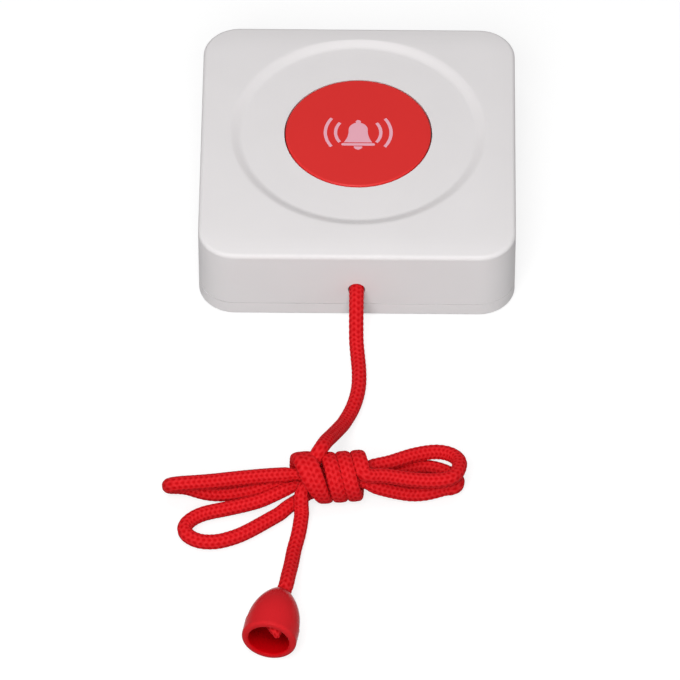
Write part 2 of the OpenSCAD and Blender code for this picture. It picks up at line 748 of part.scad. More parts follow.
module bell_knot() {
    color("red") on_bell() translate([0, 0, bell_l - bell_end_t - rest_gap - bell_knot_l])
        knot_barrel(bell_knot_l, cord_d * 0.85);
}

module battery_holder() {
    color("black") translate([0, cell_y, 0]) difference() {
        translate([0, 0, cell_z + 0.6]) cylinder(r = holder_r, h = board_z - cell_z - 0.6);
        translate([0, 0, cell_z]) cylinder(d = cell_d + 2 * slide_gap, h = cell_t + rest_gap);
        translate([-holder_r, -2.5, cell_z]) cube([2 * holder_r, 5, cell_t + rest_gap]);
    }
}

module battery_clip() {
    width = 7;
    color("silver") translate([0, cell_y - width / 2, clip_z]) {
        translate([-clip_x - clip_t, 0, 0]) cube([2 * (clip_x + clip_t), width, clip_t]);
        for (x = [-clip_x - clip_t, clip_x]) translate([x, 0, 0]) cube([clip_t, width, board_z - clip_z]);
    }
}

module coin_cell() {
    color("lightgray") translate([0, cell_y, cell_z]) rotate_extrude() {
        square([cell_d / 2, cell_t - 0.5]);
        square([cell_d / 2 - 2.2, cell_t]);
    }
}

module at_radio() {
    translate([-notch_w / 2 - 2 - radio_w, -board_half + 5, board_top_z]) children();
}

module radio_board() {
    color("darkgreen") at_radio() cube([radio_w, radio_w, 0.8]);
}

module radio_shield() {
    color("silver") at_radio() translate([1.5, 1.5, 0.8]) cube([radio_w - 3, radio_w - 4.5, 2]);
}

module board_screws() {
    head_h = 1.4;
    color("silver") at_screws() {
        translate([0, 0, board_z - head_h]) cylinder(d = screw_d * 2, h = head_h);
        translate([0, 0, board_z - 0.01]) cylinder(d = screw_d, h = board_t + screw_reach - 0.5);
    }
}

front_cover();
back_plate();
call_button();
button_spring();
circuit_board();
call_switch();
call_plunger();
pull_switch();
pull_plunger();
pull_slider();
slider_spring();
cord_stop_knot();
cord_lead();
cord_hank();
cord_tail();
pull_bell();
bell_knot();
battery_holder();
battery_clip();
coin_cell();
radio_board();
radio_shield();
board_screws();
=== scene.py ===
"""Looks of a caregiver call button: a white wall box with a round red button, and a red knitted pull cord
that lies bound in a hank and ends in a hollow bell. Metres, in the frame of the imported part: the box lies
on its back plate, the button faces +Z and the cord leaves towards -Y."""

import json
import math

import bmesh
import bpy
import numpy as np
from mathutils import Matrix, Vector

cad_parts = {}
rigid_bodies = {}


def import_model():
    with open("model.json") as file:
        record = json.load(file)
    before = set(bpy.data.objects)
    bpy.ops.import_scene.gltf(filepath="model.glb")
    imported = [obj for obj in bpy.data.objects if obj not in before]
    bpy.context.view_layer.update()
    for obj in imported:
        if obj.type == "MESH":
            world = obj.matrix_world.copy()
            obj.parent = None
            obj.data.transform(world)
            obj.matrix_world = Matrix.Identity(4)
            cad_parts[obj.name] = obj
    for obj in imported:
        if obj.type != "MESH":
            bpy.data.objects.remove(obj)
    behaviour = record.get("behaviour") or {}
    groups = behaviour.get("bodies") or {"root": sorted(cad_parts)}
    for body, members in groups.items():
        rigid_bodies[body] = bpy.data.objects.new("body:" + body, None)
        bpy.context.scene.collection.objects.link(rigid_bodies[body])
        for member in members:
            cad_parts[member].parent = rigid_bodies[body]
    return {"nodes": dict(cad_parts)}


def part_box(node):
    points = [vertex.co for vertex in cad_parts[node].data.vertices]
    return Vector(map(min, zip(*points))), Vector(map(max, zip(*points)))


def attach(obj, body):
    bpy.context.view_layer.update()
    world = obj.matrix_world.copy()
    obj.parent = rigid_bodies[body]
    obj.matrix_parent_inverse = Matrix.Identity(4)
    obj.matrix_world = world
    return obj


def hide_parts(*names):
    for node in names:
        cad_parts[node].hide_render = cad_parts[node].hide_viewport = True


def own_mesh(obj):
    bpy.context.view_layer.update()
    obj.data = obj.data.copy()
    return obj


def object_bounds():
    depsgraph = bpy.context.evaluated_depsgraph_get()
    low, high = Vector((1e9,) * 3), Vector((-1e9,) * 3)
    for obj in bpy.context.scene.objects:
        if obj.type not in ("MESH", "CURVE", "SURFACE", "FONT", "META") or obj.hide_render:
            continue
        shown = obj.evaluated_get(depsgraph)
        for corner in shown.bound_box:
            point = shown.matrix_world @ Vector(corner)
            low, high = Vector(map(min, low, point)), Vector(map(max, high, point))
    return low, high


for stray in list(bpy.data.objects):
    bpy.data.objects.remove(stray)
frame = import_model()
cad_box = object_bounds()
node = frame["nodes"]
scene = bpy.context.scene
scene.view_settings.view_transform = "Standard"

# Camera
# A long lens far away, looking down at the box from the cord's side, so that the box's sides stay
# nearly parallel and the whole cord is in view.
view_azimuth = math.radians(0.616)
view_elevation = math.radians(48.257)
view_distance = 2.0
lens_mm, sensor_mm = 390.8, 36
view_aim = Vector((-0.004383, -0.052457, 0.0))
view_back = Vector((
    math.sin(view_azimuth) * math.cos(view_elevation),
    -math.cos(view_azimuth) * math.cos(view_elevation),
    math.sin(view_elevation),
))
camera = bpy.data.objects.new("camera", bpy.data.cameras.new("camera"))
camera.data.sensor_width = sensor_mm
camera.data.lens = lens_mm
camera.location = view_aim + view_distance * view_back
camera.rotation_mode = "QUATERNION"
camera.rotation_quaternion = (-view_back).to_track_quat("-Z", "Y")
scene.collection.objects.link(camera)
scene.camera = camera

# Box: back plate and front cover
# Two mouldings in white ABS with a fine satin grain, snapped together along a seam low on the walls.
# The cover has the shallow dish for the button, and the cord's hole in its front wall.
cloud_scale, cloud_dark, cloud_light = 60, 0.97, 1.02
gloss_spread, grain_relief, coat_roughness = 0.05, 0.0001, 0.08


def moulded_plastic(name, colour, roughness, grain=0.06, grain_size=0.00035, coat=0.0, specular=0.5):
    """Injection moulded plastic: an even colour with a faint cloudiness, and the tool's grain as bump."""
    material = bpy.data.materials.new(name)
    material.use_nodes = True
    tree = material.node_tree
    shader = tree.nodes["Principled BSDF"]
    shader.inputs["Specular IOR Level"].default_value = specular
    shader.inputs["Coat Weight"].default_value = coat
    shader.inputs["Coat Roughness"].default_value = coat_roughness
    place = tree.nodes.new("ShaderNodeTexCoord")

    cloud = tree.nodes.new("ShaderNodeTexNoise")
    cloud.inputs["Scale"].default_value = cloud_scale
    cloud.inputs["Detail"].default_value = 3
    tree.links.new(place.outputs["Object"], cloud.inputs["Vector"])
    tint = tree.nodes.new("ShaderNodeMix")
    tint.data_type = "RGBA"
    tint.inputs["A"].default_value = (*[cloud_dark * c for c in colour], 1)
    tint.inputs["B"].default_value = (*[min(1, cloud_light * c) for c in colour], 1)
    tree.links.new(cloud.outputs["Fac"], tint.inputs["Factor"])
    tree.links.new(tint.outputs["Result"], shader.inputs["Base Color"])

    skin = tree.nodes.new("ShaderNodeTexNoise")
    skin.inputs["Scale"].default_value = 1 / grain_size
    skin.inputs["Detail"].default_value = 2
    tree.links.new(place.outputs["Object"], skin.inputs["Vector"])
    gloss = tree.nodes.new("ShaderNodeMapRange")
    gloss.inputs["To Min"].default_value = roughness - gloss_spread
    gloss.inputs["To Max"].default_value = roughness + gloss_spread
    tree.links.new(skin.outputs["Fac"], gloss.inputs["Value"])
    tree.links.new(gloss.outputs["Result"], shader.inputs["Roughness"])
    relief = tree.nodes.new("ShaderNodeBump")
    relief.inputs["Strength"].default_value = grain
    relief.inputs["Distance"].default_value = grain_relief
    tree.links.new(skin.outputs["Fac"], relief.inputs["Height"])
    tree.links.new(relief.outputs["Normal"], shader.inputs["Normal"])
    return material


def dress(name, material):
    """Gives a CAD node its finish."""
    node[name].data.materials.clear()
    node[name].data.materials.append(material)


white_abs = moulded_plastic("white_abs", (0.80, 0.775, 0.78), 0.55, specular=0.2)
dress("front_cover", white_abs)
dress("back_plate", white_abs)

# Call button
# A round cap in red plastic, held in the cover's collar by a flange. Its top is printed in pale pink
# with a plain bell and its ringing, as call points often have.
red_plastic = moulded_plastic("red_plastic", (0.74, 0.026, 0.024), 0.42, specular=0.3)
dress("call_button", red_plastic)
button_low, button_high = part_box("call_button")
print_film = 0.00003
sign_h, dome_r = 0.0074, 0.0026
foot_flare, flare_power = 0.0013, 2.4
knob_r, knob_rise = 0.0007, 0.0003
bar_half, bar_h, bar_gap = 0.0046, 0.0009, 0.0003
clapper_r = 0.0012
ring_stroke, ring_radii, ring_half_angle = 0.0009, (0.0062, 0.0090), 36


def arc(centre, radius, start, end, steps):
    """Points on a circle's arc, with angles in degrees."""
    angles = np.radians(np.linspace(start, end, steps))
    return [(centre[0] + radius * math.cos(a), centre[1] + radius * math.sin(a)) for a in angles]


def bell_sign_outline():
    """A bell's side view, with its foot at y = 0: straight foot, flaring sides, a round dome and a knob on it."""
    shoulder = sign_h - dome_r
    side = [(dome_r + foot_flare * (1 - t) ** flare_power, shoulder * t) for t in np.linspace(0, 1, 14)]
    apart = dome_r + knob_rise
    dome_meets = math.degrees(math.acos((apart**2 + dome_r**2 - knob_r**2) / (2 * apart * dome_r)))
    knob_meets = math.degrees(math.acos((apart**2 + knob_r**2 - dome_r**2) / (2 * apart * knob_r)))
    half_dome = arc((0, shoulder), dome_r, 0, 90 - dome_meets, 12)
    knob = arc((0, sign_h + knob_rise), knob_r, knob_meets - 90, 270 - knob_meets, 20)
    right = side[:-1] + half_dome
    return right + knob[1:-1] + [(-x, y) for x, y in reversed(right)]


def ring_outline(radius, side):
    """One sound ring beside the bell, as a bowed stroke."""
    middle = 0 if side > 0 else 180
    outer = arc((0, 0), radius + ring_stroke / 2, middle - ring_half_angle, middle + ring_half_angle, 18)
    inner = arc((0, 0), radius - ring_stroke / 2, middle + ring_half_angle, middle - ring_half_angle, 18)
    return outer + inner


foot_y = -sign_h / 2
bar_y = foot_y - bar_gap - bar_h
sign_outlines = [
    [(x, y + foot_y) for x, y in bell_sign_outline()],
    arc((bar_half - bar_h / 2, bar_y + bar_h / 2), bar_h / 2, -90, 90, 10)
    + arc((-bar_half + bar_h / 2, bar_y + bar_h / 2), bar_h / 2, 90, 270, 10),
    arc((0, bar_y - bar_gap), clapper_r, 180, 360, 16),
] + [ring_outline(r, side) for r in ring_radii for side in (-1, 1)]
sign_mesh = bmesh.new()
sign_centre = (button_low + button_high) / 2
for outline in sign_outlines:
    face = sign_mesh.faces.new([
        sign_mesh.verts.new((sign_centre.x + x, sign_centre.y + y, button_high.z + print_film)) for x, y in outline
    ])
    face.normal_update()
    if face.normal.z < 0:
        face.normal_flip()
bmesh.ops.triangulate(sign_mesh, faces=sign_mesh.faces[:])
button_print = bpy.data.objects.new("button_print", bpy.data.meshes.new("button_print"))
sign_mesh.to_mesh(button_print.data)
sign_mesh.free()
scene.collection.objects.link(button_print)
button_print.data.materials.append(moulded_plastic("pink_ink", (0.86, 0.42, 0.51), 0.45, grain=0.1))
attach(button_print, "button")

# Works inside the box
# A green board on four bosses carries two key switches, a small radio under its can, and the coin cell in a
# black holder with a sprung clip. Steel coils return the button and the slider that the cord pulls; each
# stands on its seat and has a mesh of its own.
drawn_spread = 0.1


def plated_metal(name, colour, roughness, brush=400):
    """Plated or drawn steel, with fine drawing lines in its gloss."""
    material = bpy.data.materials.new(name)
    material.use_nodes = True
    tree = material.node_tree
    shader = tree.nodes["Principled BSDF"]
    shader.inputs["Base Color"].default_value = (*colour, 1)
    shader.inputs["Metallic"].default_value = 1
    place = tree.nodes.new("ShaderNodeTexCoord")
    lines = tree.nodes.new("ShaderNodeTexNoise")
    lines.inputs["Scale"].default_value = brush
    lines.inputs["Detail"].default_value = 6
    tree.links.new(place.outputs["Object"], lines.inputs["Vector"])
    gloss = tree.nodes.new("ShaderNodeMapRange")
    gloss.inputs["To Min"].default_value = roughness - drawn_spread
    gloss.inputs["To Max"].default_value = roughness + drawn_spread
    tree.links.new(lines.outputs["Fac"], gloss.inputs["Value"])
    tree.links.new(gloss.outputs["Result"], shader.inputs["Roughness"])
    return material


solder_mask = moulded_plastic("solder_mask", (0.02, 0.16, 0.07), 0.3, grain=0.15, grain_size=0.0008, coat=0.4)
for board in ("circuit_board", "radio_board"):
    dress(board, solder_mask)
black_nylon = moulded_plastic("black_nylon", (0.02, 0.02, 0.022), 0.5)
for black_piece in ("call_switch", "pull_switch", "battery_holder"):
    dress(black_piece, black_nylon)
stem_acetal = moulded_plastic("stem_acetal", (0.05, 0.05, 0.055), 0.35)
for stem in ("call_plunger", "pull_plunger"):
    dress(stem, stem_acetal)
dress("pull_slider", moulded_plastic("slider_acetal", (0.72, 0.69, 0.6), 0.35))
spring_steel = plated_metal("spring_steel", (0.56, 0.57, 0.58), 0.28)
for coil, joint, along in (("button_spring", "call_press", 2), ("slider_spring", "cord_pull", 1)):
    dress(coil, spring_steel)
    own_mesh(node[coil])
tin_plate = plated_metal("tin_plate", (0.62, 0.62, 0.61), 0.35, brush=250)
for sheet_piece in ("battery_clip", "radio_shield"):
    dress(sheet_piece, tin_plate)
dress("coin_cell", plated_metal("nickel_plate", (0.66, 0.65, 0.62), 0.25, brush=150))
dress("board_screws", plated_metal("zinc_plate", (0.58, 0.59, 0.6), 0.32))

# Pull cord: lead, hank and tail
# One length of soft tubular knit in red yarn, 4 mm across. It runs from the slider out through the front
# wall, lies in loops that its own turns bind round the middle, and goes on into the bell.
mm = 0.001
cord_r = 2.0
wall_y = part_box("front_cover")[0].y / mm
cord_z = (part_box("pull_slider")[0].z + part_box("pull_slider")[1].z) / 2 / mm
knot_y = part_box("cord_stop_knot")[0].y / mm
lay_z = 2.1
# Points in front of the wall in millimetres, with y counted from the wall
lead_route = [
    (0, 0, cord_z), (0, -3, cord_z - 0.2), (0, -6.5, cord_z - 1.3), (0, -10, cord_z - 3.7),
    (0.1, -13.5, lay_z + 1.5), (0.5, -17.5, lay_z + 0.2), (0.9, -22.8, lay_z), (0.8, -28.6, lay_z),
    (0.2, -32.4, lay_z), (-1, -36.8, lay_z + 0.2),
]
tail_route = [
    (-14.65, -80.5, lay_z), (-15.6, -85.6, lay_z + 0.3), (-16.3, -92.1, lay_z + 1.9), (-17.1, -98.6, lay_z + 4.1),
    (-17.5, -102, lay_z + 5),
]
# The hank's own points are counted along it, away from the viewer and up, from its bound middle. Four strands
# run through that middle, given by how far behind and above its axis they lie
hank_middle = (-6.2, -64.6, 7)
hank_yaw = math.radians(6)
waist_left, waist_right, front_run = -11, 9.5, (7, -4.5)
lead_strand, back_strand, front_strand, low_strand = (0.2, 2.2), (1.93, 0), (-1.93, 0), (0, -1.93)
turn_r, turn_pitch, turn_lean = 5.2, 3.92, 0.46
whole_turns, turns_right, points_a_turn = 3, 7.8, 24
turn_from, turn_to = 3.08, -0.5
# The turn at the left end leans over the others, stands up over the lead, and leans back where it goes under;
# each from a place on the binding and over a span of it, both counted in turns
first_lean, first_lean_from, first_lean_span = 3.0, -0.15, 0.58
under_lean, under_lean_from, under_lean_span = 2.5, 0.28, 0.22
first_lift, first_lift_span = 1.1, 0.3


def smooth(t):
    """Goes softly from 0 to 1 as t does, and stays there."""
    t = np.clip(t, 0, 1)
    return t * t * (3 - 2 * t)


def unit(v):
    """A direction, as a step of length 1."""
    return np.asarray(v, float) / np.linalg.norm(v)


def turn_point(a):
    """A point on the binding, counted in turns from the left; the turn at the left end crosses the others."""
    swing = 2 * math.pi * a
    crossing = first_lean * (1 - smooth((a - first_lean_from) / first_lean_span))
    crossing -= under_lean * smooth((-a - under_lean_from) / under_lean_span)
    lift = first_lift * max(0, math.cos(swing)) ** 2 if abs(a) < first_lift_span else 0
    r = turn_r + lift
    along = turns_right - turn_pitch * (whole_turns - a) - turn_lean * (math.cos(swing) - 1) - crossing
    return along, -r * math.sin(swing), r * math.cos(swing)


def cubic(t, p, dp, q, dq):
    """Points at the shares t of a smooth line from p to q, with the ways dp and dq at its ends."""
    t = t[:, None]
    return (
        (2 * t**3 - 3 * t**2 + 1) * p + (t**3 - 2 * t**2 + t) * dp
        + (3 * t**2 - 2 * t**3) * q + (t**3 - t**2) * dq
    )


def bend(p, dp, q, dq, n):
    """The points between p and q of a smooth line in n steps."""
    return list(cubic(np.arange(1, n) / n, *(np.array(v, float) for v in (p, dp, q, dq))))


def strand_points(strand, start, end, steps):
    """A straight strand through the bound middle."""
    return [(u, *strand) for u in np.linspace(start, end, steps + 1)]


in_start, in_way = np.array((6.2, 23.1, -3.8)), unit((-0.4, -0.87, 0.29))
out_end, out_way = np.array((-8.9, -9.8, -4.9)), unit((-0.2, -1, 0))
back_loop_end, under_end, low_loop_end = (12.8, -3.2, 3.1), (-13.8, -6.7, -4.95), (waist_left, -0.65, -1.95)
turn_shares = np.linspace(turn_from, turn_to, round((turn_from - turn_to) * points_a_turn) + 1)
turn_points = [turn_point(a) for a in turn_shares]
dive = [
    in_start - 2 * in_way, in_start, in_start + 2 * in_way, (4, 18.5, -1.7), (1.5, 13.1, 1.7), (-1, 7.2, 5.7),
    (-2.7, 3.7, 6.8), (-4.3, 2.1, 5.1), (-4.8, 1.0, 3.4), (-6.6, -0.2, 2.1), (-9, *lead_strand),
    (waist_left, *lead_strand),
]
far_left_loop = [
    (-15, 0.3, 2.2), (-20, 0.4, 2.05), (-26, 0.45, 1.75), (-31, 0.45, 1.45), (-36, 0.6, 1.2), (-40, 1, 0.75),
    (-42.1, 1.5, 0), (-42.9, 2.4, -1.4), (-42.4, 3.5, -3.1), (-40.5, 4.3, -4.3), (-37.7, 4, -4.75),
    (-35.5, 2.9, -4.8), (-33.3, 1.9, -4.8), (-30, 1.1, -4.75), (-25, 0.6, -4.2), (-20, 0.5, -3), (-15, 1.2, -1.4),
]
far_right_loop = [
    (11.2, 2.7, 0.1), (13, 3.2, -0.05), (15.8, 4, -0.4), (18.8, 5.2, -0.73), (21.6, 6.3, -1), (24.3, 7.1, -1.27),
    (26.7, 7.55, -1.46), (28.9, 7.6, -1.5), (30.8, 7.2, -1.5), (32.3, 6.4, -1.35), (33.5, 5.2, -1.1),
    (34.3, 3.7, -0.75), (34.6, 2.1, -0.35), (34.3, 0.5, 0.05), (33.8, -1.1, 0.4), (33, -2.6, 0.75),
    (32.1, -3.7, 1), (30.8, -4.4, 1.15), (29, -4.75, 1.25), (26.8, -4.75, 1.3), (24.3, -4.55, 1.4),
    (21.6, -4.2, 1.6), (18.7, -3.75, 1.95), (15.8, -3.3, 2.45), back_loop_end,
]
near_left_loop = [
    (-16.9, -8.7, -4.93), (-20, -10.6, -4.92), (-22.9, -12.3, -4.9), (-25.8, -13.7, -4.9), (-28.5, -14.6, -4.9),
    (-31, -15.15, -4.9), (-33.3, -15.2, -4.9), (-35.3, -14.9, -4.9), (-37, -14.25, -4.9), (-38.3, -13.3, -4.9),
    (-39.3, -12.2, -4.9), (-39.8, -11, -4.9), (-39.8, -9.7, -4.9), (-39.3, -8.5, -4.9), (-38.2, -7.3, -4.9),
    (-36.6, -6.2, -4.9), (-34.4, -5.3, -4.85), (-32, -4.85, -4.75), (-29.3, -4.55, -4.6), (-26.2, -4.2, -4.35),
    (-22.9, -3.8, -4.05), (-19, -3.1, -3.6), (-15, -1.9, -2.8),
]
near_right_loop = [
    (12, 1, -2.6), (15, 2.4, -3.4), (18, 3.8, -4.2), (21, 4.9, -4.7), (24, 5.4, -4.85), (27, 5.1, -4.85),
    (30, 3.8, -4.85), (32.3, 2.2, -4.85), (33.5, 0.8, -4.85), (33.8, -0.5, -4.85), (33.4, -1.7, -4.85),
    (32.2, -2.5, -4.85), (30.5, -2.45, -4.85), (28.3, -3, -4.85), (25, -3.7, -4.85), (21, -3.7, -4.75),
    (17.5, -3.5, -3.8), (14.5, -3.4, -2.6), (12, -3.2, -1.5), (9.8, -2.6, -0.5),
]
leave = [
    (-6.9, -2.4, 0.8), (-8, -3.8, 0.1), (-8.4, -5.1, -1.5), (-8.5, -6.4, -3.7),
    out_end - 2 * out_way, out_end, out_end + 2 * out_way,
]
before_turns = (
    dive + far_left_loop + strand_points(back_strand, waist_left, waist_right, 4) + far_right_loop
    + bend(back_loop_end, (-6.7, 0, 0.5), turn_points[0], (-1.5, 5.1, 1.5), 6)
)
after_turns = (
    bend(turn_points[-1], (-4.2, -4.4, 0), under_end, (-4.6, -5.8, 0), 6) + [under_end] + near_left_loop
    + [low_loop_end] + strand_points(low_strand, waist_left / 2, waist_right, 3) + near_right_loop
    + strand_points(front_strand, *front_run, 3) + leave
)
hank_points = np.array([*before_turns, *turn_points, *after_turns], float)


def from_hank(p):
    """The place of points that are given along, behind and above the hank's bound middle."""
    u, v, w = np.asarray(p, float).T
    turned = (u * math.cos(hank_yaw) - v * math.sin(hank_yaw), u * math.sin(hank_yaw) + v * math.cos(hank_yaw), w)
    return np.array((hank_middle[0], hank_middle[1] + wall_y, hank_middle[2])) + np.stack(turned, axis=-1)


bell_yaw = math.radians(10)
bell_way = np.array((-math.sin(bell_yaw), -math.cos(bell_yaw), 0))
bell_mouth = np.array((-21.8, -121.3 + wall_y, 7.35))
bell_l, bell_knot_rear, neck_shift = 16.4, 11.9, 0.65
bell_neck = bell_mouth - bell_l * bell_way
from_wall = np.array((0, wall_y, 0))
lead_line = [(0, knot_y, cord_z)] + [p + from_wall for p in np.array(lead_route)]
tail_line = [p + from_wall for p in np.array(tail_route)]
tail_line += [bell_neck + (neck_shift, 0, 0), bell_mouth - bell_knot_rear * bell_way]
cord_points = np.concatenate([lead_line, from_hank(hank_points), tail_line])
first_turn = len(lead_line) + len(before_turns)
# Along the cord: part of the binding or not, width of a pressed turn, which is greatest in the first one, and
# the stitches' length, which is greater where the cord is drawn straight
turn_wide, first_wider, wider_from, wider_span = 1.04, 0.5, 0.02, 0.32
hank_stitch, lead_stitch, tail_stitch = 1.38, (1.36, 1.7), 2.0
cord_marks = np.tile((0, turn_wide, hank_stitch), (len(cord_points), 1))
cord_marks[: len(lead_line), 2] = np.linspace(*lead_stitch, len(lead_line))
cord_marks[-len(tail_line) :, 2] = tail_stitch
cord_marks[first_turn : first_turn + len(turn_points), :2] = [
    (1, turn_wide + first_wider * (1 - smooth((a - wider_from) / wider_span))) for a in turn_shares
]
smoothing_rounds = 10


def evenly(points, marks, step):
    """A smooth line through the points with one point every step along it, and the marks along it."""
    p = np.array(points, float)
    knots = np.concatenate([[0], np.cumsum(np.linalg.norm(np.diff(p, axis=0), axis=1))])
    slope = np.gradient(p, knots, axis=0)
    fine, at = [], []
    for i in range(len(p) - 1):
        gap = knots[i + 1] - knots[i]
        t = np.linspace(0, 1, max(6, math.ceil(gap / step * 3)), endpoint=False)
        fine.append(cubic(t, p[i], gap * slope[i], p[i + 1], gap * slope[i + 1]))
        at.append(knots[i] + gap * t)
    fine = np.concatenate(fine + [p[-1:]])
    at = np.concatenate(at + [knots[-1:]])
    run = np.concatenate([[0], np.cumsum(np.linalg.norm(np.diff(fine, axis=0), axis=1))])
    even = np.linspace(0, run[-1], math.ceil(run[-1] / step) + 1)
    line = np.stack([np.interp(even, run, fine[:, k]) for k in range(3)], axis=1)
    for _ in range(smoothing_rounds):
        line[1:-1] = (line[:-2] + 2 * line[1:-1] + line[2:]) / 4
    where = np.interp(even, run, at)
    return line, np.stack([np.interp(where, knots, column) for column in np.array(marks).T], axis=1)


knit_columns, faces_a_column, column_shift = 10, 4, 0.5
ring_step = 0.3
# A hole's width is counted in half columns and its length in stitches; depth, height and swell are shares of
# the cord's radius
hole_wide, hole_long, hole_depth = 0.55, 0.26, 0.065
leg_slant, leg_height, knit_swell = 0.25, 0.008, 1.005
pressed_thick, pressed_power = 0.85, 3


def knitted(name, line, widths, stitch_l, flat=None):
    """A tube of knit: columns of V stitches with a small hole in the middle of each, and a UV map that counts
    columns across and stitches along, for the yarn's finish. Flat gives for each ring the way that it is
    pressed, how much it is pressed, and how wide it gets."""
    sides = knit_columns * faces_a_column
    way = np.gradient(line, axis=0)
    way /= np.linalg.norm(way, axis=1)[:, None]
    out = np.zeros_like(line)
    side = np.array((0.0, 0.0, 1.0)) if abs(way[0][2]) < 0.9 else np.array((1.0, 0.0, 0.0))
    for i, t in enumerate(way):
        side = unit(side - (side @ t) * t)
        out[i] = side
    other = np.cross(way, out)
    steps = np.linalg.norm(np.diff(line, axis=0), axis=1)
    stitch = np.concatenate([[0], np.cumsum(2 * steps / (stitch_l[1:] + stitch_l[:-1]))])

    k = np.arange(sides)
    odd = k // faces_a_column % 2
    across_stitch = 2 * (k % faces_a_column) / faces_a_column - 1
    row = stitch[:, None] + column_shift * odd
    past = (row + 0.5) % 1 - 0.5
    hole = np.exp(-((across_stitch / hole_wide) ** 2)[None, :] - (past / hole_long) ** 2)
    leg = -np.cos(2 * np.pi * (row - leg_slant * (1 - 2 * odd) * np.abs(across_stitch)))
    radius = widths[:, None] * (knit_swell - hole_depth * hole + leg_height * leg)
    angle = 2 * np.pi * k / sides
    spokes = np.cos(angle)[None, :, None] * out[:, None] + np.sin(angle)[None, :, None] * other[:, None]
    if flat is not None:
        press_way, press, wide = flat
        thick = np.abs(np.einsum("rsk,rk->rs", spokes, press_way)) / pressed_thick
        broad = np.abs(np.einsum("rsk,rk->rs", spokes, np.cross(way, press_way))) / wide[:, None]
        flattened = (thick**pressed_power + broad**pressed_power) ** (-1 / pressed_power)
        radius *= 1 + press[:, None] * (flattened - 1)
    points = mm * (line[:, None] + radius[..., None] * spokes)

    rings = len(line)
    i, j = np.meshgrid(np.arange(rings - 1), k, indexing="ij")
    beside = (j + 1) % sides
    quads = np.stack([i * sides + j, i * sides + beside, (i + 1) * sides + beside, (i + 1) * sides + j], axis=-1)
    caps = [tuple(range(sides - 1, -1, -1)), tuple((rings - 1) * sides + k)]
    mesh = bpy.data.meshes.new(name)
    mesh.from_pydata(points.reshape(-1, 3).tolist(), [], quads.reshape(-1, 4).tolist() + caps)
    mesh.polygons.foreach_set("use_smooth", [True] * len(mesh.polygons))

    shift = column_shift * (j // faces_a_column % 2)
    across = np.stack([j, j + 1, j + 1, j], axis=-1) / faces_a_column
    along = np.stack([stitch[i], stitch[i], stitch[i + 1], stitch[i + 1]], axis=-1) + shift[..., None]
    uv = np.zeros((len(mesh.loops), 2))
    uv[: across.size] = np.stack([across.ravel(), along.ravel()], axis=-1)
    mesh.uv_layers.new(name="stitches").data.foreach_set("uv", uv.ravel().astype(np.float32))
    mesh.update()
    piece = bpy.data.objects.new(name, mesh)
    scene.collection.objects.link(piece)
    return piece


yarn_roughness, yarn_specular = 0.75, 0.08
# Painted shade and light on the yarn: its colours from the darkest in the holes up to the lightest on the legs,
# and how far up each stands
yarn_hole_shade, yarn_middle, yarn_leg_light = (0.46, 0.0, 0.0025), (0.59, 0.0035, 0.0068), (0.74, 0.0215, 0.027)
yarn_middle_at, yarn_leg_light_at = 0.45, 0.85
# How wide and long the holes are, and how far they and the columns' middles sink: both as bump and as painted
# shade
shaded_hole_wide, shaded_hole_long, shaded_hole_depth = 0.58, 0.27, 0.44
column_level, shaded_groove_depth, leg_shade = 0.73, 0.1, 0.08
filaments_a_stitch, filament_height = 4, 0.06
yarn_relief, yarn_relief_h = 0.45, 0.0002


